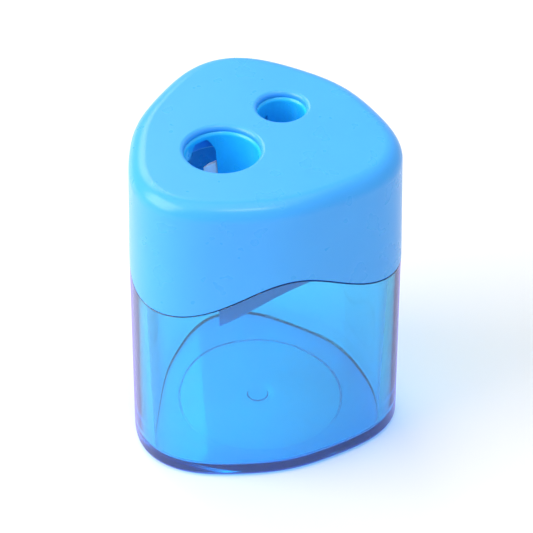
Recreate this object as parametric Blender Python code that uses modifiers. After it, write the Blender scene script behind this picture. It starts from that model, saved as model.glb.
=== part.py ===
"""Two-hole pencil sharpener: a lift-off lid with two sharpener bodies over a clear tub.

The plan is a rounded triangle with one corner towards -Y. The origin is the middle of the
underside of the whole object, and +Z is up. Everything is in metres.
"""

import math

import bmesh
import bpy
from mathutils import Matrix, Vector

MM = 0.001
ASSEMBLY = "pencil_sharpener"

# Overall size and plan
HEIGHT = 55.1 * MM
PLAN_RADIUS = 22.0 * MM
PLAN_WAVES = {2: 0.013, 3: 0.078, 6: 0.0165}    # waves a turn: height over the mean radius
PLAN_POINTS = 72
DRAFT = math.tan(math.radians(0.5)) / PLAN_RADIUS
FIT_GAP = 0.3 * MM

# The seam between lid and tub, one hump on each side of the triangle
SEAM_MEAN = 36.1 * MM
SEAM_HUMP = 3.5 * MM                            # half of its rise from corner to side
SEAM_PEAKING = 0.4 * MM                         # makes the humps narrower than the dips
SEAM_RADIUS = 21.7 * MM                         # where the seam has those heights
SEAM_REACH = 8.0 * MM                           # more than the waves rise or fall anywhere

# Lid
LID_WALL = 2.0 * MM
LID_ROOF = 2.0 * MM
LID_EDGE = 2.9 * MM
LID_INNER_EDGE = 1.4 * MM
LIP = 0.7 * MM                                  # roof left above each sharpener body
RIM_DEPTH = 0.6 * MM                            # of the chamfer round each opening
SOCKET_WALL = 1.3 * MM
SOCKET_BOTTOM = 50.0 * MM                       # the ring round each body ends here
TONGUE_WALL = 1.0 * MM
TONGUE_DROP = 4.8 * MM                          # below the seam, where each tongue starts
TONGUE_TOP = 44.0 * MM
TONGUE_START = math.radians(27.5)               # past each corner
TONGUE_END = math.radians(75.0)                 # where its lower edge has run up to the seam

# Tub
TUB_WALL = 1.6 * MM                             # at the seam; thicker towards the floor
TUB_INNER_DRAFT = math.tan(math.radians(2.2)) / PLAN_RADIUS
TUB_FLOOR = 1.3 * MM
TUB_EDGE = 1.0 * MM
TUB_INNER_EDGE = 0.8 * MM
FOOT_RECESS_RADIUS = 13.9 * MM
FOOT_RECESS_DEPTH = 0.4 * MM
GATE_RADIUS = 1.8 * MM
GATE_HEIGHT = 0.2 * MM                          # a round step down in the recess

# Sharpener bodies: pencil bore, pencil cone and the place of each hole from the plan's centre
CONE_ANGLE = math.radians(11.5)
BLADE_FACING = math.radians(171.0)
LEAD_IN = 0.4 * MM
BODY_WALL = 1.6 * MM
COLLAR_WALL = 1.3 * MM
BODY_BOTTOM = 25.0 * MM
TIP_RADIUS = 1.0 * MM
HOLES = {
    "large": {
        "centre": (-1.1 * MM, -7.0 * MM),
        "bore": 5.9 * MM,
        "rim": 6.9 * MM,
        "sunk": 1.0 * MM,
        "cone_top": 50.6 * MM,
    },
    "small": {
        "centre": (-2.3 * MM, 8.1 * MM),
        "bore": 3.75 * MM,
        "rim": 4.7 * MM,
        "sunk": 1.0 * MM,
        "cone_top": 41.2 * MM,
    },
}
SEAT_TOP = 52.9 * MM
RELIEF_TOP = 51.0 * MM
RELIEF_DEPTH = 1.4 * MM
PAD_TOP = 47.8 * MM
PAD_DEPTH = 5.2 * MM
PAD_BESIDE_EDGE = 2.0 * MM

# Blade and screw
BLADE_LENGTH = 24.0 * MM
BLADE_WIDTH = 7.6 * MM
BLADE_THICKNESS = 0.6 * MM
BLADE_TOP = 48.3 * MM
BLADE_BITE = 0.3 * MM
GRIND_WIDTH = 1.3 * MM
EDGE_LAND = 0.08 * MM
SCREW_FROM_EDGE = 5.0 * MM
SCREW_HEIGHT = 35.0 * MM
SHANK_RADIUS = 1.15 * MM
SHANK_LENGTH = 3.4 * MM
HEAD_RADIUS = 2.1 * MM
HEAD_HEIGHT = 1.2 * MM
HEAD_TOP_RADIUS = 1.5 * MM
HEAD_RIM_HEIGHT = 0.65 * MM
POINT_RADIUS = 0.4 * MM
SLOT_WIDTH = 0.6 * MM
SLOT_DEPTH = 0.7 * MM
SLOT_TURN = math.radians(35.0)

CORNERS = 3
FINE_SOLVER = "MANIFOLD"                        # for cuts that EXACT leaves with open edges
ROUND_STEPS = 48
SMALL_STEPS = 24
EDGE_STEPS = 3
LID_EDGE_STEPS = 5
SMOOTH_ANGLE = math.radians(35)
SHARP_LIMIT = math.radians(60)
FLAT_LIMIT = math.radians(0.2)                  # faces closer to one plane than this are joined
SAME_POINT = 0.001 * MM
REACH = 32.0 * MM                               # past the outside of the object, for cutters


def plan_radius(turn):
    """Distance from the plan's centre, at an angle measured from the -Y corner."""
    waves = sum(size * math.cos(count * turn) for count, size in PLAN_WAVES.items())
    return PLAN_RADIUS * (1 + waves)


PLAN_CENTRE = Vector((0, (plan_radius(0) - plan_radius(math.pi)) / 2, 0))


def plan_outline(inset):
    """The plan's outline about its centre, moved in by the inset along its normal."""
    points = []
    for index in range(PLAN_POINTS):
        turn = 2 * math.pi * index / PLAN_POINTS
        radius = plan_radius(turn)
        slope = -PLAN_RADIUS * sum(
            size * count * math.sin(count * turn) for count, size in PLAN_WAVES.items()
        )
        outward = Vector((math.sin(turn), -math.cos(turn)))
        along = Vector((math.cos(turn), math.sin(turn)))
        tangent = (slope * outward + radius * along).normalized()
        points.append(radius * outward - inset * Vector((tangent.y, -tangent.x)))
    return points


def seam_rise(turn):
    """How far the seam lies above its mean height, at the seam radius."""
    waves = -SEAM_HUMP * math.cos(CORNERS * turn)
    return waves + SEAM_PEAKING * math.cos(2 * CORNERS * turn)


def tongue_drop(turn):
    """How far a tongue reaches below the seam: most at its start, running out at its end."""
    past_corner = turn % (math.tau / CORNERS)
    share = (past_corner - TONGUE_START) / (TONGUE_END - TONGUE_START)
    return TONGUE_DROP * (1 - min(max(share, 0), 1) ** 2)


def no_drop(turn):
    return 0


# Scene set-up and small tools

def clear_scene():
    for old in list(bpy.data.objects):
        bpy.data.objects.remove(old, do_unlink=True)


def make_collection(name):
    collection = bpy.data.collections.new(name)
    bpy.context.scene.collection.children.link(collection)
    return collection


def make_material(name, colour, roughness, metallic=0.0, alpha=1.0):
    material = bpy.data.materials.new(name)
    material.use_nodes = True
    shader = material.node_tree.nodes["Principled BSDF"]
    shader.inputs["Base Color"].default_value = (*colour, 1)
    shader.inputs["Roughness"].default_value = roughness
    shader.inputs["Metallic"].default_value = metallic
    shader.inputs["Alpha"].default_value = alpha
    return material


clear_scene()
PARTS = make_collection(ASSEMBLY)
CUTTERS = make_collection("cutters")
MATERIALS = {
    "lid_plastic": make_material("lid_plastic", (0.14, 0.50, 0.95), 0.3),
    "body_plastic": make_material("body_plastic", (0.02, 0.24, 0.80), 0.35),
    "clear_plastic": make_material("clear_plastic", (0.20, 0.50, 0.95), 0.1, alpha=0.5),
    "blade_steel": make_material("blade_steel", (0.75, 0.80, 0.82), 0.25, metallic=1.0),
    "screw_steel": make_material("screw_steel", (0.60, 0.62, 0.65), 0.35, metallic=1.0),
}


def add_part(name, mesh, material, matrix=None):
    """A finished piece of the assembly."""
    part = bpy.data.objects.new(name, mesh)
    part.data.materials.append(MATERIALS[material])
    part.matrix_world = matrix or Matrix.Identity(4)
    PARTS.objects.link(part)
    return part


def add_cutter(name, mesh, matrix=None):
    """A shape that others are cut by or joined to, and that is no piece itself."""
    cutter = bpy.data.objects.new(name, mesh)
    cutter.matrix_world = matrix or Matrix.Identity(4)
    cutter.hide_render = True
    cutter.display_type = "WIRE"
    CUTTERS.objects.link(cutter)
    return cutter


def boolean(target, operand, operation="DIFFERENCE", solver="EXACT"):
    modifier = target.modifiers.new(f"{operation.lower()}_{operand.name}", "BOOLEAN")
    modifier.object = operand
    modifier.operation = operation
    modifier.solver = solver


def round_edges(target, width, segments):
    modifier = target.modifiers.new("round_edges", "BEVEL")
    modifier.width = width
    modifier.segments = segments
    modifier.limit_method = "ANGLE"
    modifier.angle_limit = SHARP_LIMIT


def shade(part):
    part.data.shade_smooth()
    part.data.set_sharp_from_angle(angle=SMOOTH_ANGLE)


def flat_mesh(name, points, thickness):
    """A closed plate in the XY plane, centred on it, from a flat outline."""
    curve = bpy.data.curves.new(name, "CURVE")
    curve.dimensions = "2D"
    curve.fill_mode = "BOTH"
    curve.extrude = thickness / 2
    spline = curve.splines.new("POLY")
    spline.points.add(len(points) - 1)
    for spline_point, (x, y) in zip(spline.points, points):
        spline_point.co = (x, y, 0, 1)
    spline.use_cyclic_u = True
    holder = bpy.data.objects.new(name, curve)
    CUTTERS.objects.link(holder)
    depsgraph = bpy.context.evaluated_depsgraph_get()
    mesh = bpy.data.meshes.new_from_object(holder.evaluated_get(depsgraph))
    bpy.data.objects.remove(holder, do_unlink=True)
    edit = bmesh.new()
    edit.from_mesh(mesh)
    bmesh.ops.remove_doubles(edit, verts=edit.verts, dist=SAME_POINT)
    bmesh.ops.dissolve_limit(edit, angle_limit=FLAT_LIMIT, verts=edit.verts, edges=edit.edges)
    bmesh.ops.recalc_face_normals(edit, faces=edit.faces)
    edit.to_mesh(mesh)
    edit.free()
    mesh.materials.clear()
    return mesh


def plan_mesh(name, inset, low, high, draft):
    """An upright prism on the plan, narrower away from the seam by the draft."""
    mesh = flat_mesh(name, plan_outline(inset), high - low)
    middle = (low + high) / 2
    for vertex in mesh.vertices:
        height = vertex.co.z + middle
        size = 1 - draft * (height - SEAM_MEAN)
        vertex.co = Vector((vertex.co.x * size, vertex.co.y * size, height)) + PLAN_CENTRE
    return mesh


def seam_block(name, shift, end, drop=no_drop):
    """Everything between the seam surface, moved by the shift and the drop, and a flat end."""
    edit = bmesh.new()
    bmesh.ops.create_cone(
        edit, cap_ends=True, cap_tris=True, segments=PLAN_POINTS,
        radius1=REACH, radius2=REACH, depth=1, matrix=Matrix.Identity(4),
    )
    seam_sign = 1 if end < SEAM_MEAN else -1
    for vertex in edit.verts:
        if vertex.co.z * seam_sign > 0:
            turn = math.atan2(vertex.co.x, -vertex.co.y)
            rise = seam_rise(turn) - drop(turn)
            vertex.co.z = SEAM_MEAN + rise * vertex.co.xy.length / SEAM_RADIUS + shift
        else:
            vertex.co.z = end
        vertex.co += PLAN_CENTRE
    mesh = bpy.data.meshes.new(name)
    edit.to_mesh(mesh)
    edit.free()
    return mesh


def turned_object(name, profile, matrix, steps, add, **extra):
    """A turned solid from (radius, height) points that run from its top down its outside."""
    mesh = bpy.data.meshes.new(name)
    vertices = [(radius, 0, height) for radius, height in profile]
    edges = [(index, index + 1) for index in range(len(profile) - 1)]
    mesh.from_pydata(vertices, edges, [])
    turned = add(name, mesh, matrix=matrix, **extra)
    screw = turned.modifiers.new("turn", "SCREW")
    screw.axis = "Z"
    screw.steps = steps
    screw.render_steps = steps
    screw.use_merge_vertices = True
    screw.merge_threshold = SAME_POINT
    screw.use_smooth_shade = True
    return turned


def box_mesh(name, low, high):
    """A box between two corners."""
    low = Vector(low)
    high = Vector(high)
    edit = bmesh.new()
    bmesh.ops.create_cube(edit, size=1)
    for vertex in edit.verts:
        vertex.co = Vector(
            low[axis] + (vertex.co[axis] + 0.5) * (high[axis] - low[axis]) for axis in range(3)
        )
    mesh = bpy.data.meshes.new(name)
    edit.to_mesh(mesh)
    edit.free()
    return mesh


# Places that several pieces share

def hole_matrix(hole):
    """A frame on a hole's axis, at the height of the underside of the object."""
    return Matrix.Translation(PLAN_CENTRE + Vector((*hole["centre"], 0)))


def blade_matrix(hole):
    """A frame on a blade's inner face: X across it, Y up along it, Z out of it.

    Y lies along the pencil cone where the cutting edge meets it, and the origin is level
    with the wide end of the cone.
    """
    outward = Vector((math.cos(BLADE_FACING), math.sin(BLADE_FACING), 0))
    across = Vector((-outward.y, outward.x, 0))
    up = math.sin(CONE_ANGLE) * outward + math.cos(CONE_ANGLE) * Vector((0, 0, 1))
    out = across.cross(up)
    corner = (hole["bore"] - BLADE_BITE) * outward + Vector((0, 0, hole["cone_top"]))
    place = Matrix.Translation(hole_matrix(hole).translation + corner)
    return place @ Matrix((across, up, out)).transposed().to_4x4()


def along_blade(hole, height):
    """Distance up the blade's frame of a point at a given height."""
    return (height - hole["cone_top"]) / math.cos(CONE_ANGLE)


def collar_radius(hole):
    return hole["bore"] + COLLAR_WALL


def body_top(hole):
    return HEIGHT - hole["sunk"]


# Lid

def sector_mesh(name, start, end):
    """An upright wedge from the plan's axis, between two angles from the -Y corner."""
    points = [Vector((0, 0))]
    for turn in (start, end):
        points.append(REACH * Vector((math.sin(turn), -math.cos(turn))))
    return flat_mesh(name, points, 2 * HEIGHT)


def make_tongue():
    """Three curved tongues inside the lid's wall that plug into the tub's mouth."""
    outer = TUB_WALL + FIT_GAP
    low = SEAM_MEAN - SEAM_REACH - TONGUE_DROP
    draft = -TUB_INNER_DRAFT
    tongue = add_cutter("tongue", plan_mesh("tongue", outer, low, TONGUE_TOP, draft))
    hollow = plan_mesh(
        "tongue_hollow", outer + TONGUE_WALL, low - LID_WALL, TONGUE_TOP + LID_WALL, draft
    )
    boolean(tongue, add_cutter("tongue_hollow", hollow))
    boolean(tongue, add_cutter("tongue_end", seam_block("tongue_end", 0, 0, tongue_drop)))
    pitch = math.tau / CORNERS
    place = Matrix.Translation(PLAN_CENTRE)
    for corner in range(CORNERS):
        name = f"tongue_notch_{corner}"
        notch = sector_mesh(name, TONGUE_END + corner * pitch, TONGUE_START + (corner + 1) * pitch)
        boolean(tongue, add_cutter(name, notch, place))
    return tongue


def make_lid():
    bottom = SEAM_MEAN - SEAM_REACH
    lid = add_part("lid", plan_mesh("lid", 0, bottom, HEIGHT, DRAFT), "lid_plastic")
    round_edges(lid, LID_EDGE, LID_EDGE_STEPS)
    hollow = add_cutter(
        "lid_hollow",
        plan_mesh("lid_hollow", LID_WALL, bottom - LID_WALL, HEIGHT - LID_ROOF, DRAFT),
    )
    round_edges(hollow, LID_INNER_EDGE, EDGE_STEPS)
    boolean(lid, hollow)
    boolean(lid, add_cutter("lid_end", seam_block("lid_end", FIT_GAP / 2, 0)))
    boolean(lid, make_tongue(), "UNION", FINE_SOLVER)
    for name, hole in HOLES.items():
        socket_radius = collar_radius(hole) + FIT_GAP
        outside = socket_radius + SOCKET_WALL
        socket = turned_object(
            f"{name}_socket",
            [
                (0, HEIGHT - LID_ROOF / 2),
                (outside, HEIGHT - LID_ROOF / 2),
                (outside, SOCKET_BOTTOM),
                (0, SOCKET_BOTTOM),
            ],
            hole_matrix(hole), ROUND_STEPS, add_cutter,
        )
        boolean(lid, socket, "UNION", FINE_SOLVER)
    for name, hole in HOLES.items():
        socket_radius = collar_radius(hole) + FIT_GAP
        throat = hole["bore"] + FIT_GAP
        roof = HEIGHT - LIP
        opening = turned_object(
            f"{name}_opening",
            [
                (0, HEIGHT + LIP),
                (hole["rim"] + LIP, HEIGHT + LIP),
                (hole["rim"], HEIGHT),
                (throat, HEIGHT - RIM_DEPTH),
                (throat, roof),
                (socket_radius, roof),
                (socket_radius, SOCKET_BOTTOM - LIP),
                (0, SOCKET_BOTTOM - LIP),
            ],
            hole_matrix(hole), ROUND_STEPS, add_cutter,
        )
        boolean(lid, opening, solver=FINE_SOLVER)
    shade(lid)
    return lid


# Tub

def make_tub():
    top = SEAM_MEAN + SEAM_REACH
    tub = add_part("tub", plan_mesh("tub", 0, 0, top, -DRAFT), "clear_plastic")
    round_edges(tub, TUB_EDGE, EDGE_STEPS)
    hollow = add_cutter(
        "tub_hollow",
        plan_mesh("tub_hollow", TUB_WALL, TUB_FLOOR, top + 3 * TUB_WALL, -TUB_INNER_DRAFT),
    )
    round_edges(hollow, TUB_INNER_EDGE, EDGE_STEPS)
    boolean(tub, hollow)
    boolean(tub, add_cutter("tub_end", seam_block("tub_end", -FIT_GAP / 2, HEIGHT + REACH)))
    recess = turned_object(
        "foot_recess",
        [
            (0, FOOT_RECESS_DEPTH - GATE_HEIGHT),
            (GATE_RADIUS, FOOT_RECESS_DEPTH - GATE_HEIGHT),
            (GATE_RADIUS, FOOT_RECESS_DEPTH),
            (FOOT_RECESS_RADIUS, FOOT_RECESS_DEPTH),
            (FOOT_RECESS_RADIUS, -FOOT_RECESS_DEPTH),
            (0, -FOOT_RECESS_DEPTH),
        ],
        Matrix.Translation(PLAN_CENTRE), ROUND_STEPS, add_cutter,
    )
    boolean(tub, recess, solver=FINE_SOLVER)
    shade(tub)
    return tub


# Sharpener bodies, blades and screws

def make_body(name, hole):
    """A sharpener body: collar, cone wall and blade pad, cut by the pencil's bore."""
    top = body_top(hole)
    bore = hole["bore"]
    cone_top = hole["cone_top"]
    cone_end = cone_top - (bore - TIP_RADIUS) / math.tan(CONE_ANGLE)
    axis = hole_matrix(hole)
    frame = blade_matrix(hole)
    body = turned_object(
        f"{name}_sharpener_body",
        [
            (0, top),
            (collar_radius(hole), top),
            (collar_radius(hole), SOCKET_BOTTOM),
            (bore + BODY_WALL, SOCKET_BOTTOM - BODY_WALL),
            (bore + BODY_WALL, cone_top - BODY_WALL),
            (TIP_RADIUS + BODY_WALL, cone_end),
            (TIP_RADIUS + BODY_WALL, BODY_BOTTOM),
            (0, BODY_BOTTOM),
        ],
        axis, ROUND_STEPS, add_part, material="body_plastic",
    )
    pad = box_mesh(
        f"{name}_pad",
        (-BLADE_WIDTH - FIT_GAP, along_blade(hole, BODY_BOTTOM + BODY_WALL), -PAD_DEPTH),
        (PAD_BESIDE_EDGE, along_blade(hole, PAD_TOP), -FIT_GAP),
    )
    boolean(body, add_cutter(f"{name}_pad", pad, frame), "UNION", FINE_SOLVER)
    bore_cutter = turned_object(
        f"{name}_bore",
        [
            (0, top + LIP),
            (bore + LEAD_IN, top + LIP),
            (bore + LEAD_IN, top),
            (bore, top - LEAD_IN),
            (bore, cone_top),
            (TIP_RADIUS, cone_end),
            (TIP_RADIUS, BODY_BOTTOM - LIP),
            (0, BODY_BOTTOM - LIP),
        ],
        axis, ROUND_STEPS, add_cutter,
    )
    boolean(body, bore_cutter, solver=FINE_SOLVER)
    below = along_blade(hole, BODY_BOTTOM) - BODY_WALL
    seat = box_mesh(
        f"{name}_seat",
        (-REACH / 2, below, -FIT_GAP),
        (REACH / 2, along_blade(hole, SEAT_TOP), REACH / 2),
    )
    boolean(body, add_cutter(f"{name}_seat", seat, frame), solver=FINE_SOLVER)
    relief = box_mesh(
        f"{name}_relief",
        (0, along_blade(hole, cone_end), -FIT_GAP - RELIEF_DEPTH),
        (REACH / 2, along_blade(hole, RELIEF_TOP), REACH / 2),
    )
    boolean(body, add_cutter(f"{name}_relief", relief, frame), solver=FINE_SOLVER)
    pilot_hole = make_screw_hole(f"{name}_pilot_hole", hole, -PAD_DEPTH + FIT_GAP, 0)
    boolean(body, pilot_hole, solver=FINE_SOLVER)
    shade(body)
    return body


def screw_frame(hole):
    """A frame on the screw's axis, on the blade's inner face, with Z out of the blade."""
    height = along_blade(hole, SCREW_HEIGHT)
    return blade_matrix(hole) @ Matrix.Translation((-SCREW_FROM_EDGE, height, 0))


def make_screw_hole(name, hole, low, high):
    radius = SHANK_RADIUS + FIT_GAP
    profile = [(0, high), (radius, high), (radius, low), (0, low)]
    return turned_object(name, profile, screw_frame(hole), SMALL_STEPS, add_cutter)


def make_blade(name, hole):
    """A flat blade, ground along its cutting edge, with one hole for its screw."""
    section = [
        (-BLADE_WIDTH, 0),
        (0, 0),
        (0, EDGE_LAND),
        (-GRIND_WIDTH, BLADE_THICKNESS),
        (-BLADE_WIDTH, BLADE_THICKNESS),
    ]
    middle = along_blade(hole, BLADE_TOP) - BLADE_LENGTH / 2
    stand = Matrix.Translation((0, middle, 0)) @ Matrix.Rotation(math.pi / 2, 4, "X")
    mesh = flat_mesh(f"{name}_blade", section, BLADE_LENGTH)
    blade = add_part(f"{name}_blade", mesh, "blade_steel", blade_matrix(hole) @ stand)
    hole_cutter = make_screw_hole(
        f"{name}_blade_hole", hole, -BLADE_THICKNESS, 2 * BLADE_THICKNESS
    )
    boolean(blade, hole_cutter)
    return blade


def make_screw(name, hole):
    """A slotted pan-head screw through the blade into the pad."""
    seat = BLADE_THICKNESS + FIT_GAP
    top = seat + HEAD_HEIGHT
    end = -SHANK_LENGTH
    screw = turned_object(
        f"{name}_blade_screw",
        [
            (0, top),
            (HEAD_TOP_RADIUS, top),
            (HEAD_RADIUS, seat + HEAD_RIM_HEIGHT),
            (HEAD_RADIUS, seat),
            (SHANK_RADIUS, seat),
            (SHANK_RADIUS, end + SHANK_RADIUS),
            (POINT_RADIUS, end),
            (0, end),
        ],
        screw_frame(hole), SMALL_STEPS, add_part, material="screw_steel",
    )
    slot = box_mesh(
        f"{name}_slot",
        (-SLOT_WIDTH / 2, -2 * HEAD_RADIUS, top - SLOT_DEPTH),
        (SLOT_WIDTH / 2, 2 * HEAD_RADIUS, top + SLOT_DEPTH),
    )
    slot_place = screw_frame(hole) @ Matrix.Rotation(SLOT_TURN, 4, "Z")
    boolean(screw, add_cutter(f"{name}_slot", slot, slot_place))
    shade(screw)
    return screw


def parent_to(pieces, name):
    """Pieces that lift together, on an empty at the origin of the lid's lift."""
    lift = bpy.data.objects.new(name, None)
    PARTS.objects.link(lift)
    for piece in pieces:
        piece.parent = lift


def main():
    make_tub()
    lifted = [make_lid()]
    for name, hole in HOLES.items():
        lifted.append(make_body(name, hole))
        lifted.append(make_blade(name, hole))
        lifted.append(make_screw(name, hole))
    parent_to(lifted, "lid_lift")


main()
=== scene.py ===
import math

import bmesh
import bpy
from mathutils import Matrix, Vector


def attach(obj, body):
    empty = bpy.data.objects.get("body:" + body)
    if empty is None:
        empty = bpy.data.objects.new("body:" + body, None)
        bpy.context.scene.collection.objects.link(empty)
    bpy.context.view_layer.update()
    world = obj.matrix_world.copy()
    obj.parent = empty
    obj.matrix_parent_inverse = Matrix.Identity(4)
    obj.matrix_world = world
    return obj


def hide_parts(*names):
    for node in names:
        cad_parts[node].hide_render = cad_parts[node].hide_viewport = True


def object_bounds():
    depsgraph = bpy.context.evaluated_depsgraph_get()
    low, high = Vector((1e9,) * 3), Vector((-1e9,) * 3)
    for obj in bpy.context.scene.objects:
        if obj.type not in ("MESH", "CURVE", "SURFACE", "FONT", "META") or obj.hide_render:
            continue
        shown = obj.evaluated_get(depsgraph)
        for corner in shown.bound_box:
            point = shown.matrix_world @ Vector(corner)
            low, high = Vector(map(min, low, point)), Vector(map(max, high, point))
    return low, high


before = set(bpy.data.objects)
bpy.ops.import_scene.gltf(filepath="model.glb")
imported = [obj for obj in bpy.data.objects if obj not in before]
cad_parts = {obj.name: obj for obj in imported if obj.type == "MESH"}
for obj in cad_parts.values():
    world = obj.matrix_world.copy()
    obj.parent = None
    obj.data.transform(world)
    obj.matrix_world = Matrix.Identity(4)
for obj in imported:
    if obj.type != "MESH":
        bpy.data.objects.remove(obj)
CAD_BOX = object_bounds()
MM = 0.001

# Plan: a rounded triangle with one corner towards -Y
HEIGHT = CAD_BOX[1][2]
PLAN_RADIUS = 22.0 * MM
PLAN_WAVES = {2: 0.013, 3: 0.078, 6: 0.0165}    # waves a turn: height over the mean radius
PLAN_STEPS = 288
DRAFT = math.tan(math.radians(0.5)) / PLAN_RADIUS
FIT_GAP = 0.3 * MM
SKIN = 0.02 * MM                                # the fine outline bulges this far past the CAD's
SUPPORT = 0.08 * MM                             # a ring this close keeps the next face flat

# The seam between lid and tub
SEAM_MEAN = 36.1 * MM
SEAM_HUMP = 3.5 * MM                            # half of its rise from corner to side
SEAM_PEAKING = 0.4 * MM                         # makes the humps narrower than the dips
SEAM_RADIUS = 21.7 * MM                         # where the seam has those heights
SEAM_GAP = 0.16 * MM                            # what shows of it between lid and tub
SEAM_ROUND = 0.12 * MM

# Lid
LID_WALL = 2.0 * MM
LID_ROOF = 2.0 * MM
LID_EDGE = 2.9 * MM
LID_EDGE_STEPS = 16
LID_INNER_EDGE = 1.4 * MM
LID_INNER_STEPS = 8
LID_RIM_STEPS = 5
LIP = 0.9 * MM                                  # roof left above each sharpener body
RIM_OVERLAP = 0.05 * MM                         # each opening's rounding runs out past its rim
RIM_STEPS = 8
SOCKET_WALL = 1.3 * MM
SOCKET_BOTTOM = 50.0 * MM
TONGUE_WALL = 1.0 * MM
TONGUE_DROP = 4.8 * MM
TONGUE_TOP = 44.0 * MM
TONGUE_START = math.radians(27.5)
TONGUE_END = math.radians(75.0)
TONGUE_EDGE = 0.2 * MM
TONGUE_STEPS = 60
CORNERS = 3

# Tub
TUB_WALL = 1.6 * MM
TUB_INNER_DRAFT = math.tan(math.radians(2.2)) / PLAN_RADIUS
TUB_FLOOR = 1.3 * MM
TUB_EDGE = 1.0 * MM
TUB_INNER_EDGE = 0.8 * MM
TUB_EDGE_STEPS = 12
TUB_RIM_STEPS = 6
FOOT_RECESS_RADIUS = 13.9 * MM
FOOT_RECESS_DEPTH = 0.4 * MM
GATE_RADIUS = 1.8 * MM
GATE_HEIGHT = 0.2 * MM
RECESS_EDGE = 0.22 * MM
RECESS_RINGS = 6
WALL_SHARES = (0.25, 0.5, 0.75)                 # rings between the tub's base and its seam

# Sharpener bodies
CONE_ANGLE = math.radians(11.5)
BLADE_FACING = math.radians(171.0)
LEAD_IN = 0.75 * MM
LEAD_IN_STEPS = 6
CUT_THROUGH = 94                                # an arc from past 90 degrees cuts clean through
BODY_WALL = 1.6 * MM
COLLAR_WALL = 1.3 * MM
BODY_BOTTOM = 25.0 * MM
TIP_RADIUS = 1.0 * MM
HOLES = {
    "large": {
        "centre": (-1.1 * MM, -7.0 * MM),
        "bore": 5.9 * MM,
        "rim": 6.9 * MM,
        "sunk": 1.0 * MM,
        "cone_top": 50.6 * MM,
    },
    "small": {
        "centre": (-2.3 * MM, 8.1 * MM),
        "bore": 3.75 * MM,
        "rim": 4.7 * MM,
        "sunk": 1.0 * MM,
        "cone_top": 41.2 * MM,
    },
}
SEAT_TOP = 52.9 * MM
RELIEF_TOP = 51.0 * MM
RELIEF_DEPTH = 1.4 * MM
PAD_TOP = 47.8 * MM
PAD_DEPTH = 5.2 * MM
PAD_BESIDE_EDGE = 2.0 * MM
MOULD_ROUND = 0.25 * MM
MOULD_STEPS = 4
MOULD_BEVEL = 0.08 * MM

# Blade and screw
BLADE_LENGTH = 24.0 * MM
BLADE_WIDTH = 7.6 * MM
BLADE_THICKNESS = 0.6 * MM
BLADE_TOP = 48.3 * MM
BLADE_BITE = 0.3 * MM
BLADE_ROUND = 0.06 * MM
GRIND_WIDTH = 1.3 * MM
EDGE_LAND = 0.08 * MM
SCREW_FROM_EDGE = 5.0 * MM
SCREW_HEIGHT = 35.0 * MM
SHANK_RADIUS = 1.15 * MM
SHANK_LENGTH = 3.4 * MM
THREAD_DEPTH = 0.22 * MM
THREAD_PITCH = 0.5 * MM
HEAD_RADIUS = 2.1 * MM
HEAD_HEIGHT = 1.2 * MM
HEAD_ROUND = 0.5 * MM
HEAD_STEPS = 8
THREAD_ROWS = 90
THREAD_RUN_OUT = 6                              # rows over which the thread fades at each end
SLOT_WIDTH = 0.6 * MM
SLOT_DEPTH = 0.7 * MM
SLOT_TURN = math.radians(35.0)

ROUND_STEPS = 128
SMALL_STEPS = 48
THREAD_STEPS = 64
REACH = 32.0 * MM
SMOOTH_ANGLE = math.radians(30)
BODY_BEVEL_ANGLE = math.radians(50)
BLADE_BEVEL_ANGLE = math.radians(60)

# Camera
VIEW_AZIMUTH = 43.8
VIEW_ELEVATION = 37.6
VIEW_DISTANCE = 0.7
LENS = 285.8
FRAME_SHIFT = (0.0171, 0.0031)

# Stage
FLOOR_SIZE = 3.0
FLOOR_HEIGHT = -0.1 * MM
WORLD_LIGHT = 0.65
LAMPS = [
    # name, degrees beside the view, elevation, distance and size in metres, watts
    ("key_left", -75, 35, 0.6, 0.5, 3.6),
    ("top", 0, 85, 0.7, 0.6, 1.1),
    ("spark", 12, 62, 0.6, 0.08, 0.3),
    ("back_left", -155, 40, 0.6, 0.3, 0.9),
]


# Plan, seam and profiles

def plan_radius(turn):
    """Distance from the plan's centre, at an angle measured from the -Y corner."""
    waves = sum(size * math.cos(count * turn) for count, size in PLAN_WAVES.items())
    return PLAN_RADIUS * (1 + waves)


PLAN_CENTRE = Vector((0, (plan_radius(0) - plan_radius(math.pi)) / 2, 0))
TARGET = PLAN_CENTRE + Vector((0, 0, HEIGHT / 2))


def plan_point(turn, inset):
    """A point of the plan's outline about its centre, moved in by the inset along its normal."""
    radius = plan_radius(turn)
    slope = -PLAN_RADIUS * sum(
        size * count * math.sin(count * turn) for count, size in PLAN_WAVES.items()
    )
    outward = Vector((math.sin(turn), -math.cos(turn)))
    along = Vector((math.cos(turn), math.sin(turn)))
    tangent = (slope * outward + radius * along).normalized()
    return radius * outward - (inset + SKIN) * Vector((tangent.y, -tangent.x))


def seam_rise(turn):
    """How far the seam lies above its mean height, at the seam radius."""
    waves = -SEAM_HUMP * math.cos(CORNERS * turn)
    return waves + SEAM_PEAKING * math.cos(2 * CORNERS * turn)


def tongue_drop(turn):
    """How far a tongue reaches below the seam: most at its start, running out at its end."""
    past_corner = turn % (math.tau / CORNERS)
    share = (past_corner - TONGUE_START) / (TONGUE_END - TONGUE_START)
    return TONGUE_DROP * (1 - min(max(share, 0), 1) ** 2)


def arc(centre, radius, start, end, steps):
    """Points of an arc in a profile's plane, between two angles in degrees."""
    points = []
    for index in range(steps + 1):
        angle = math.radians(start + (end - start) * index / steps)
        points.append(
            (centre[0] + radius * math.cos(angle), centre[1] + radius * math.sin(angle))
        )
    return points


# Mesh tools

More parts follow.
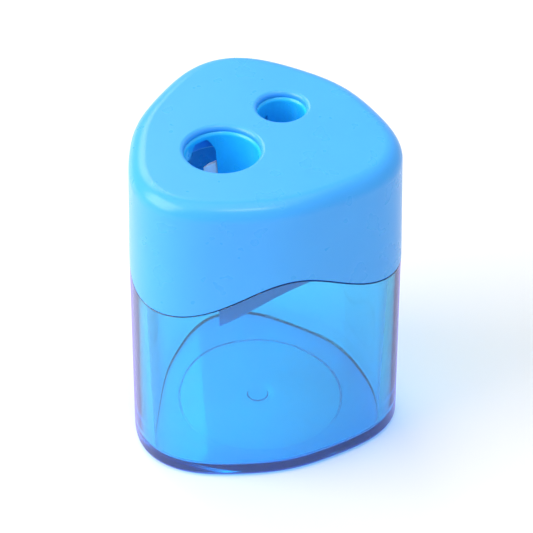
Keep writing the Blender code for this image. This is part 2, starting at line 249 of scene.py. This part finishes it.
def new_object(name, edit, matrix=None):
    """A scene object from an edited mesh, with its faces pointing out."""
    bmesh.ops.recalc_face_normals(edit, faces=edit.faces)
    mesh = bpy.data.meshes.new(name)
    edit.to_mesh(mesh)
    edit.free()
    if matrix is not None:
        mesh.transform(matrix)
    piece = bpy.data.objects.new(name, mesh)
    bpy.context.scene.collection.objects.link(piece)
    return piece


def loft(name, rings, matrix=None, ends=True):
    """A surface through closed rings of points, with its two ends filled or joined."""
    edit = bmesh.new()
    loops = [[edit.verts.new(point) for point in ring] for ring in rings]
    pairs = list(zip(loops, loops[1:]))
    if not ends:
        pairs.append((loops[-1], loops[0]))
    for low, high in pairs:
        for index in range(len(low)):
            after = (index + 1) % len(low)
            edit.faces.new((low[index], low[after], high[after], high[index]))
    if ends:
        edit.faces.new(loops[0])
        edit.faces.new(loops[-1])
    return new_object(name, edit, matrix)


def plan_ring(inset, height, share, draft):
    """A ring on the plan. The share says how much it follows the seam's rise and fall."""
    points = []
    for index in range(PLAN_STEPS):
        turn = math.tau * index / PLAN_STEPS
        flat = plan_point(turn, inset)
        z = height + share * seam_rise(turn) * flat.length / SEAM_RADIUS
        size = 1 - draft * (z - SEAM_MEAN)
        points.append(Vector((flat.x * size, flat.y * size, z)) + PLAN_CENTRE)
    return points


def circle_ring(radius, height, centre=PLAN_CENTRE, steps=PLAN_STEPS):
    """A level ring of points round an upright axis, in the same order as the plan's rings."""
    points = []
    for index in range(steps):
        turn = math.tau * index / steps
        points.append(centre + Vector((radius * math.sin(turn), -radius * math.cos(turn), height)))
    return points


def turned(name, profile, matrix=None, steps=ROUND_STEPS):
    """A turned solid from (radius, height) points between its two flat ends."""
    rings = [circle_ring(radius, height, Vector(), steps) for radius, height in profile]
    return loft(name, rings, matrix)


def block(name, low, high, matrix=None, round_by=0.0, segments=3):
    """A box between two corners, with rounded edges."""
    edit = bmesh.new()
    bmesh.ops.create_cube(edit, size=1)
    low, high = Vector(low), Vector(high)
    for vertex in edit.verts:
        for axis in range(3):
            vertex.co[axis] = low[axis] + (vertex.co[axis] + 0.5) * (high[axis] - low[axis])
    if round_by:
        bmesh.ops.bevel(
            edit, geom=edit.edges[:], offset=round_by, segments=segments, profile=0.5,
            affect="EDGES",
        )
    return new_object(name, edit, matrix)


def apply_modifiers(piece):
    depsgraph = bpy.context.evaluated_depsgraph_get()
    mesh = bpy.data.meshes.new_from_object(piece.evaluated_get(depsgraph))
    piece.modifiers.clear()
    piece.data = mesh


def combine(piece, operand, operation):
    """Cuts the piece by the operand, or joins them, and removes the operand."""
    modifier = piece.modifiers.new("combine", "BOOLEAN")
    modifier.object = operand
    modifier.operation = operation
    modifier.solver = "MANIFOLD"
    apply_modifiers(piece)
    bpy.data.objects.remove(operand, do_unlink=True)


def bevel_edges(piece, width, angle):
    """Breaks every edge that is sharper than the angle."""
    modifier = piece.modifiers.new("edges", "BEVEL")
    modifier.width = width
    modifier.segments = 2
    modifier.limit_method = "ANGLE"
    modifier.angle_limit = angle
    apply_modifiers(piece)


def finish_shading(piece):
    """Smooth shading with true sharp edges."""
    modifier = piece.modifiers.new("weighted", "WEIGHTED_NORMAL")
    modifier.keep_sharp = True
    piece.data.shade_smooth()
    piece.data.set_sharp_from_angle(angle=SMOOTH_ANGLE)
    apply_modifiers(piece)


# Materials

def new_material(name):
    material = bpy.data.materials.new(name)
    material.use_nodes = True
    nodes = material.node_tree.nodes
    return material, nodes, material.node_tree.links, nodes["Principled BSDF"]


def noise(nodes, links, scale, detail, stretch=(1, 1, 1)):
    """A noise in the object's own space, in cycles a metre."""
    coords = nodes.new("ShaderNodeTexCoord")
    mapping = nodes.new("ShaderNodeMapping")
    mapping.inputs["Scale"].default_value = stretch
    texture = nodes.new("ShaderNodeTexNoise")
    texture.inputs["Scale"].default_value = scale
    texture.inputs["Detail"].default_value = detail
    links.new(coords.outputs["Object"], mapping.inputs["Vector"])
    links.new(mapping.outputs["Vector"], texture.inputs["Vector"])
    return texture.outputs["Fac"]


def remap(nodes, links, source, low, high, new_low, new_high):
    spread = nodes.new("ShaderNodeMapRange")
    spread.inputs["From Min"].default_value = low
    spread.inputs["From Max"].default_value = high
    spread.inputs["To Min"].default_value = new_low
    spread.inputs["To Max"].default_value = new_high
    links.new(source, spread.inputs["Value"])
    return spread.outputs["Result"]


def bump(nodes, links, shader, source, distance):
    node = nodes.new("ShaderNodeBump")
    node.inputs["Strength"].default_value = 1.0
    node.inputs["Distance"].default_value = distance
    links.new(source, node.inputs["Height"])
    links.new(node.outputs["Normal"], shader.inputs["Normal"])


def moulded_plastic(name, colour, deep_colour, roughness):
    """Opaque moulded plastic: faint flow marks in its colour, a slight ripple, rubbed gloss."""
    material, nodes, links, shader = new_material(name)
    flow = noise(nodes, links, scale=70, detail=3)
    mix = nodes.new("ShaderNodeMix")
    mix.data_type = "RGBA"
    mix.inputs["A"].default_value = (*colour, 1)
    mix.inputs["B"].default_value = (*deep_colour, 1)
    links.new(remap(nodes, links, flow, 0.35, 0.7, 0, 1), mix.inputs["Factor"])
    links.new(mix.outputs["Result"], shader.inputs["Base Color"])
    rub = noise(nodes, links, scale=260, detail=2)
    links.new(
        remap(nodes, links, rub, 0.3, 0.7, roughness - 0.01, roughness + 0.015),
        shader.inputs["Roughness"],
    )
    shader.inputs["Subsurface Weight"].default_value = 0.12
    shader.inputs["Subsurface Radius"].default_value = (0.0003, 0.0008, 0.0015)
    shader.inputs["IOR"].default_value = 1.5
    ripple = noise(nodes, links, scale=160, detail=2)
    bump(nodes, links, shader, ripple, 0.005 * MM)
    return material


def clear_plastic():
    """Clear tinted polystyrene, which takes off red and green, with a violet glint at its edges."""
    material, nodes, links, shader = new_material("clear_plastic")
    shader.inputs["Base Color"].default_value = (0.6, 0.93, 1, 1)
    shader.inputs["IOR"].default_value = 1.57
    shader.inputs["Transmission Weight"].default_value = 0.98
    shader.inputs["Sheen Weight"].default_value = 1.0
    shader.inputs["Sheen Roughness"].default_value = 0.3
    shader.inputs["Sheen Tint"].default_value = (0.35, 0.25, 1, 1)
    rub = noise(nodes, links, scale=300, detail=5)
    links.new(remap(nodes, links, rub, 0.35, 0.75, 0.015, 0.06), shader.inputs["Roughness"])
    ripple = noise(nodes, links, scale=90, detail=1)
    bump(nodes, links, shader, ripple, 0.01 * MM)
    output = nodes["Material Output"]
    path = nodes.new("ShaderNodeLightPath")
    through = nodes.new("ShaderNodeBsdfTransparent")
    through.inputs["Color"].default_value = (0.95, 0.95, 0.95, 1)
    mix = nodes.new("ShaderNodeMixShader")
    links.new(path.outputs["Is Shadow Ray"], mix.inputs[0])
    links.new(shader.outputs[0], mix.inputs[1])
    links.new(through.outputs[0], mix.inputs[2])
    links.new(mix.outputs[0], output.inputs["Surface"])
    absorption = nodes.new("ShaderNodeVolumeAbsorption")
    absorption.inputs["Color"].default_value = (0.0, 0.845, 0.985, 1)
    absorption.inputs["Density"].default_value = 600
    links.new(absorption.outputs[0], output.inputs["Volume"])
    return material


def brushed_steel(name, colour, metallic, roughness, stretch):
    """Ground steel: fine lines along one direction, in its bump and its gloss."""
    material, nodes, links, shader = new_material(name)
    shader.inputs["Metallic"].default_value = metallic
    shade = noise(nodes, links, scale=400, detail=4)
    mix = nodes.new("ShaderNodeMix")
    mix.data_type = "RGBA"
    mix.inputs["A"].default_value = (*colour, 1)
    mix.inputs["B"].default_value = (*[0.82 * part for part in colour], 1)
    links.new(remap(nodes, links, shade, 0.4, 0.75, 0, 1), mix.inputs["Factor"])
    links.new(mix.outputs["Result"], shader.inputs["Base Color"])
    lines = noise(nodes, links, scale=1500, detail=3, stretch=stretch)
    links.new(
        remap(nodes, links, lines, 0.3, 0.7, roughness - 0.06, roughness + 0.1),
        shader.inputs["Roughness"],
    )
    bump(nodes, links, shader, lines, 0.001 * MM)
    return material


MATERIALS = {
    "lid_plastic": moulded_plastic(
        "lid_plastic", (0.043, 0.375, 0.93), (0.039, 0.36, 0.91), 0.28
    ),
    "body_plastic": moulded_plastic(
        "body_plastic", (0.018, 0.52, 1.0), (0.016, 0.49, 0.97), 0.28
    ),
    "clear_plastic": clear_plastic(),
    # The blade's pale cyan base colour, with metallic kept low so its diffuse part shows bright, is
    # a painted reflection. It stands in for the light from above and the blue plastic round it,
    # which the grey steel reflects.
    "blade_steel": brushed_steel("blade_steel", (0.80, 0.97, 1.0), 0.2, 0.45, (1, 1, 0.06)),
    "screw_steel": brushed_steel("screw_steel", (0.62, 0.64, 0.66), 1.0, 0.34, (1, 1, 1)),
}


def settle(piece, node, body, slot):
    """Gives a finished piece its material, and its place among the CAD's nodes and bodies."""
    piece.data.materials.clear()
    piece.data.materials.append(MATERIALS[slot])
    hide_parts(node)
    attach(piece, body)


# Lid

def lid_shell():
    """The lid's wall and roof: one skin outside and one inside, joined by the rim."""
    profile = [(LID_EDGE + SUPPORT, HEIGHT, 0)]
    for inset, height in arc((LID_EDGE, HEIGHT - LID_EDGE), LID_EDGE, 90, 180, LID_EDGE_STEPS):
        profile.append((inset, height, 0))
    profile.append((0, HEIGHT - LID_EDGE - SUPPORT, 0))
    rim = SEAM_MEAN + SEAM_GAP / 2
    profile.append((0, rim + SEAM_ROUND + SUPPORT, 1))
    for inset, height in arc((SEAM_ROUND, rim + SEAM_ROUND), SEAM_ROUND, 180, 270, LID_RIM_STEPS):
        profile.append((inset, height, 1))
    inner = LID_WALL - SEAM_ROUND
    for inset, height in arc((inner, rim + SEAM_ROUND), SEAM_ROUND, 270, 360, LID_RIM_STEPS):
        profile.append((inset, height, 1))
    profile.append((LID_WALL, rim + SEAM_ROUND + SUPPORT, 1))
    ceiling = HEIGHT - LID_ROOF
    start = (LID_WALL + LID_INNER_EDGE, ceiling - LID_INNER_EDGE)
    profile.append((LID_WALL, start[1] - SUPPORT, 0))
    for inset, height in arc(start, LID_INNER_EDGE, 180, 90, LID_INNER_STEPS):
        profile.append((inset, height, 0))
    profile.append((start[0] + SUPPORT, ceiling, 0))
    rings = [plan_ring(inset, height, share, DRAFT) for inset, height, share in profile]
    return loft("lid_shell", rings)


def tongue(corner):
    """One curved tongue, lofted round the wall from its tall start to where it runs out."""
    outer = TUB_WALL + FIT_GAP
    inner = outer + TONGUE_WALL
    edge = TONGUE_EDGE
    section = [(outer, None), (inner, None)]        # None is the tongue's flat top
    section += [(inner, edge), (inner - edge / 3, edge / 3), (inner - edge, 0)]
    section += [(outer + edge, 0), (outer + edge / 3, edge / 3), (outer, edge)]
    rings = []
    for index in range(TONGUE_STEPS + 1):
        turn = TONGUE_START + (TONGUE_END - TONGUE_START) * index / TONGUE_STEPS
        turn += corner * math.tau / CORNERS
        ring = []
        for inset, above in section:
            flat = plan_point(turn, inset)
            rise = (seam_rise(turn) - tongue_drop(turn)) * flat.length / SEAM_RADIUS
            z = TONGUE_TOP if above is None else SEAM_MEAN + rise + above
            size = 1 + TUB_INNER_DRAFT * (z - SEAM_MEAN)
            ring.append(Vector((flat.x * size, flat.y * size, z)) + PLAN_CENTRE)
        rings.append(ring)
    return loft(f"tongue_{corner}", rings)


def hole_matrix(hole):
    return Matrix.Translation(PLAN_CENTRE + Vector((*hole["centre"], 0)))


def collar_radius(hole):
    return hole["bore"] + COLLAR_WALL


def make_lid():
    lid = lid_shell()
    for corner in range(CORNERS):
        combine(lid, tongue(corner), "UNION")
    for name, hole in HOLES.items():
        outside = collar_radius(hole) + FIT_GAP + SOCKET_WALL
        profile = [(outside, HEIGHT - LID_ROOF / 2)]
        corner = (outside - MOULD_ROUND, SOCKET_BOTTOM + MOULD_ROUND)
        profile += arc(corner, MOULD_ROUND, 0, -90, MOULD_STEPS)
        combine(lid, turned(f"{name}_socket", profile, hole_matrix(hole)), "UNION")
    for name, hole in HOLES.items():
        socket_radius = collar_radius(hole) + FIT_GAP
        throat = hole["bore"] + FIT_GAP
        roof = HEIGHT - LIP
        rounding = hole["rim"] - throat + RIM_OVERLAP
        profile = [(throat + rounding, HEIGHT + LIP)]
        corner = (throat + rounding, HEIGHT - rounding)
        profile += arc(corner, rounding, CUT_THROUGH, 180, RIM_STEPS)
        profile += [
            (throat, roof),
            (socket_radius, roof),
            (socket_radius, SOCKET_BOTTOM + MOULD_ROUND),
            (socket_radius + MOULD_ROUND, SOCKET_BOTTOM),
            (socket_radius + MOULD_ROUND, SOCKET_BOTTOM - LIP),
        ]
        combine(lid, turned(f"{name}_opening", profile, hole_matrix(hole)), "DIFFERENCE")
    finish_shading(lid)
    settle(lid, "lid", "lid_body", "lid_plastic")


# Tub

def make_tub():
    """One skin from the middle of the underside, up the outside, over the rim and down inside."""
    gate_top = FOOT_RECESS_DEPTH - GATE_HEIGHT
    small = RECESS_EDGE
    rings = [
        circle_ring(GATE_RADIUS - small - SUPPORT, gate_top),
        circle_ring(GATE_RADIUS - small, gate_top),
        circle_ring(GATE_RADIUS - small / 3, gate_top + small / 3),
        circle_ring(GATE_RADIUS, FOOT_RECESS_DEPTH - SUPPORT / 4),
        circle_ring(GATE_RADIUS + SUPPORT, FOOT_RECESS_DEPTH),
    ]
    for index in range(1, RECESS_RINGS):
        share = index / RECESS_RINGS
        radius = GATE_RADIUS + share * (FOOT_RECESS_RADIUS - GATE_RADIUS)
        rings.append(circle_ring(radius, FOOT_RECESS_DEPTH))
    rings += [
        circle_ring(FOOT_RECESS_RADIUS - small - SUPPORT, FOOT_RECESS_DEPTH),
        circle_ring(FOOT_RECESS_RADIUS - small, FOOT_RECESS_DEPTH),
        circle_ring(FOOT_RECESS_RADIUS - small / 3, FOOT_RECESS_DEPTH - small / 3),
        circle_ring(FOOT_RECESS_RADIUS, FOOT_RECESS_DEPTH - small),
        circle_ring(FOOT_RECESS_RADIUS, small),
        circle_ring(FOOT_RECESS_RADIUS + small / 3, small / 3),
        circle_ring(FOOT_RECESS_RADIUS + small, 0),
        circle_ring(FOOT_RECESS_RADIUS + small + SUPPORT, 0),
    ]
    profile = [(TUB_EDGE + SUPPORT, 0, 0)]
    for inset, height in arc((TUB_EDGE, TUB_EDGE), TUB_EDGE, 270, 180, TUB_EDGE_STEPS):
        profile.append((inset, height, 0))
    profile.append((0, TUB_EDGE + SUPPORT, 0))
    rim = SEAM_MEAN - SEAM_GAP / 2
    for share in WALL_SHARES:
        height = TUB_EDGE + share * (rim - TUB_EDGE)
        profile.append((0, height, share))
    profile.append((0, rim - SEAM_ROUND - SUPPORT, 1))
    for inset, height in arc((SEAM_ROUND, rim - SEAM_ROUND), SEAM_ROUND, 180, 90, TUB_RIM_STEPS):
        profile.append((inset, height, 1))
    rings += [plan_ring(inset, height, share, -DRAFT) for inset, height, share in profile]
    inner = TUB_WALL - SEAM_ROUND
    profile = []
    for inset, height in arc((inner, rim - SEAM_ROUND), SEAM_ROUND, 90, 0, TUB_RIM_STEPS):
        profile.append((inset, height, 1))
    profile.append((TUB_WALL, rim - SEAM_ROUND - SUPPORT, 1))
    start = (TUB_WALL + TUB_INNER_EDGE, TUB_FLOOR + TUB_INNER_EDGE)
    for share in reversed(WALL_SHARES):
        height = start[1] + share * (rim - start[1])
        profile.append((TUB_WALL, height, share))
    profile.append((TUB_WALL, start[1] + SUPPORT, 0))
    for inset, height in arc(start, TUB_INNER_EDGE, 180, 270, TUB_EDGE_STEPS):
        profile.append((inset, height, 0))
    profile.append((start[0] + SUPPORT, TUB_FLOOR, 0))
    rings += [
        plan_ring(inset, height, share, -TUB_INNER_DRAFT) for inset, height, share in profile
    ]
    tub = loft("clear_tub", rings)
    tub.data.shade_smooth()
    settle(tub, "tub", "tub_body", "clear_plastic")


# Sharpener bodies, blades and screws

def blade_matrix(hole):
    """A frame on a blade's inner face: X across it, Y up along it, Z out of it."""
    outward = Vector((math.cos(BLADE_FACING), math.sin(BLADE_FACING), 0))
    across = Vector((-outward.y, outward.x, 0))
    up = math.sin(CONE_ANGLE) * outward + math.cos(CONE_ANGLE) * Vector((0, 0, 1))
    out = across.cross(up)
    corner = (hole["bore"] - BLADE_BITE) * outward + Vector((0, 0, hole["cone_top"]))
    place = Matrix.Translation(hole_matrix(hole).translation + corner)
    return place @ Matrix((across, up, out)).transposed().to_4x4()


def along_blade(hole, height):
    return (height - hole["cone_top"]) / math.cos(CONE_ANGLE)


def screw_frame(hole):
    height = along_blade(hole, SCREW_HEIGHT)
    return blade_matrix(hole) @ Matrix.Translation((-SCREW_FROM_EDGE, height, 0))


def make_body(name, hole):
    """A sharpener body: collar, cone wall and blade pad, cut by the pencil's bore."""
    top = HEIGHT - hole["sunk"]
    bore = hole["bore"]
    cone_top = hole["cone_top"]
    cone_end = cone_top - (bore - TIP_RADIUS) / math.tan(CONE_ANGLE)
    collar = collar_radius(hole)
    axis = hole_matrix(hole)
    place = blade_matrix(hole)
    wall = bore + BODY_WALL
    profile = arc((collar - MOULD_ROUND, top - MOULD_ROUND), MOULD_ROUND, 90, 0, MOULD_STEPS)
    profile += [
        (collar, SOCKET_BOTTOM),
        (wall, SOCKET_BOTTOM - BODY_WALL),
        (wall, cone_top - BODY_WALL),
        (TIP_RADIUS + BODY_WALL, cone_end),
    ]
    foot = (TIP_RADIUS + BODY_WALL - MOULD_ROUND, BODY_BOTTOM + MOULD_ROUND)
    profile += arc(foot, MOULD_ROUND, 0, -90, MOULD_STEPS)
    body = turned(f"{name}_body", profile, axis)
    pad = block(
        f"{name}_pad",
        (-BLADE_WIDTH - FIT_GAP, along_blade(hole, BODY_BOTTOM + BODY_WALL), -PAD_DEPTH),
        (PAD_BESIDE_EDGE, along_blade(hole, PAD_TOP), -FIT_GAP),
        place, MOULD_ROUND,
    )
    combine(body, pad, "UNION")
    lead = [(bore + LEAD_IN, top + LIP)]
    lead += arc((bore + LEAD_IN, top - LEAD_IN), LEAD_IN, CUT_THROUGH, 180, LEAD_IN_STEPS)
    lead += [(bore, cone_top), (TIP_RADIUS, cone_end), (TIP_RADIUS, BODY_BOTTOM - LIP)]
    combine(body, turned(f"{name}_bore", lead, axis), "DIFFERENCE")
    seat = block(
        f"{name}_seat",
        (-REACH / 2, along_blade(hole, BODY_BOTTOM) - BODY_WALL, -FIT_GAP),
        (REACH / 2, along_blade(hole, SEAT_TOP), REACH / 2),
        place,
    )
    combine(body, seat, "DIFFERENCE")
    relief = block(
        f"{name}_relief",
        (0, along_blade(hole, cone_end), -FIT_GAP - RELIEF_DEPTH),
        (REACH / 2, along_blade(hole, RELIEF_TOP), REACH / 2),
        place,
    )
    combine(body, relief, "DIFFERENCE")
    pilot = SHANK_RADIUS + FIT_GAP
    profile = [(pilot, FIT_GAP), (pilot, FIT_GAP - PAD_DEPTH)]
    combine(body, turned(f"{name}_pilot", profile, screw_frame(hole), SMALL_STEPS), "DIFFERENCE")
    bevel_edges(body, MOULD_BEVEL, BODY_BEVEL_ANGLE)
    finish_shading(body)
    settle(body, f"{name}_sharpener_body", "lid_body", "body_plastic")


def make_blade(name, hole):
    """A flat blade with one ground edge, a small land at the edge and one hole."""
    top = along_blade(hole, BLADE_TOP)
    section = [
        (-BLADE_WIDTH, 0),
        (0, 0),
        (0, EDGE_LAND),
        (-GRIND_WIDTH, BLADE_THICKNESS),
        (-BLADE_WIDTH, BLADE_THICKNESS),
    ]
    ends = (top - BLADE_LENGTH, top)
    rings = [[Vector((x, y, z)) for x, z in section] for y in ends]
    blade = loft(f"{name}_cutter", rings, blade_matrix(hole))
    radius = SHANK_RADIUS + FIT_GAP
    profile = [(radius, 2 * BLADE_THICKNESS), (radius, -BLADE_THICKNESS)]
    combine(blade, turned(f"{name}_hole", profile, screw_frame(hole), SMALL_STEPS), "DIFFERENCE")
    bevel_edges(blade, BLADE_ROUND, BLADE_BEVEL_ANGLE)
    finish_shading(blade)
    settle(blade, f"{name}_blade", "lid_body", "blade_steel")


def make_screw(name, hole):
    """A slotted pan-head screw with a rolled thread."""
    seat = BLADE_THICKNESS + FIT_GAP
    top = seat + HEAD_HEIGHT
    end = -SHANK_LENGTH
    steps = THREAD_STEPS
    rings = []
    crown = HEAD_RADIUS - HEAD_ROUND
    rings.append(circle_ring(crown / 2, top, Vector(), steps))
    for radius, height in arc((crown, top - HEAD_ROUND), HEAD_ROUND, 90, 0, HEAD_STEPS):
        rings.append(circle_ring(radius, height, Vector(), steps))
    rings.append(circle_ring(HEAD_RADIUS, seat + SUPPORT, Vector(), steps))
    rings.append(circle_ring(HEAD_RADIUS - SUPPORT, seat, Vector(), steps))
    rings.append(circle_ring(SHANK_RADIUS, seat, Vector(), steps))
    for row in range(THREAD_ROWS + 1):
        z = -(SHANK_LENGTH - SHANK_RADIUS) * row / THREAD_ROWS
        fade = min(row, THREAD_ROWS - row, THREAD_RUN_OUT) / THREAD_RUN_OUT
        ring = []
        for index in range(steps):
            turn = math.tau * index / steps
            phase = (z / THREAD_PITCH + turn / math.tau) % 1
            depth = THREAD_DEPTH * fade * abs(2 * phase - 1)
            radius = SHANK_RADIUS + THREAD_DEPTH / 2 - depth if fade else SHANK_RADIUS
            ring.append(Vector((radius * math.sin(turn), -radius * math.cos(turn), z)))
        rings.append(ring)
    rings.append(circle_ring(SHANK_RADIUS / 3, end, Vector(), steps))
    screw = loft(f"{name}_screw", rings, screw_frame(hole))
    slot = block(
        f"{name}_slot",
        (-SLOT_WIDTH / 2, -2 * HEAD_RADIUS, top - SLOT_DEPTH),
        (SLOT_WIDTH / 2, 2 * HEAD_RADIUS, top + SLOT_DEPTH),
        screw_frame(hole) @ Matrix.Rotation(SLOT_TURN, 4, "Z"),
    )
    combine(screw, slot, "DIFFERENCE")
    finish_shading(screw)
    settle(screw, f"{name}_blade_screw", "lid_body", "screw_steel")


# Stage, light and camera

def make_floor():
    bpy.ops.mesh.primitive_plane_add(size=FLOOR_SIZE)
    floor = bpy.context.object
    floor.name = "floor"
    floor.location.z = FLOOR_HEIGHT
    material, nodes, links, shader = new_material("floor")
    shader.inputs["Base Color"].default_value = (0.82, 0.82, 0.82, 1)
    shader.inputs["Roughness"].default_value = 0.7
    floor.data.materials.append(material)


def view_direction(azimuth, elevation):
    """From the target towards a camera or lamp."""
    az, el = math.radians(azimuth), math.radians(elevation)
    return Vector((math.sin(az) * math.cos(el), -math.cos(az) * math.cos(el), math.sin(el)))


def add_area(name, azimuth, elevation, distance, size, power):
    """A square white lamp that faces the object."""
    light = bpy.data.lights.new(name, "AREA")
    light.shape = "SQUARE"
    light.size = size
    light.energy = power
    lamp = bpy.data.objects.new(name, light)
    bpy.context.scene.collection.objects.link(lamp)
    back = view_direction(azimuth, elevation)
    lamp.location = TARGET + distance * back
    lamp.rotation_euler = back.to_track_quat("Z", "Y").to_euler()


def make_camera():
    camera = bpy.data.cameras.new("camera")
    camera.lens = LENS
    camera.sensor_width = 36
    camera.shift_x, camera.shift_y = FRAME_SHIFT
    holder = bpy.data.objects.new("camera", camera)
    bpy.context.scene.collection.objects.link(holder)
    back = view_direction(VIEW_AZIMUTH, VIEW_ELEVATION)
    holder.location = TARGET + VIEW_DISTANCE * back
    holder.rotation_euler = back.to_track_quat("Z", "Y").to_euler()
    bpy.context.scene.camera = holder


def make_light():
    world = bpy.data.worlds.new("studio")
    world.use_nodes = True
    background = world.node_tree.nodes["Background"]
    background.inputs["Color"].default_value = (1, 1, 1, 1)
    background.inputs["Strength"].default_value = WORLD_LIGHT
    bpy.context.scene.world = world
    for name, beside_view, elevation, distance, size, power in LAMPS:
        add_area(name, VIEW_AZIMUTH + beside_view, elevation, distance, size, power)
    bpy.context.scene.view_settings.view_transform = "Standard"


make_lid()
make_tub()
for hole_name, hole_sizes in HOLES.items():
    make_body(hole_name, hole_sizes)
    make_blade(hole_name, hole_sizes)
    make_screw(hole_name, hole_sizes)
make_floor()
make_camera()
make_light()
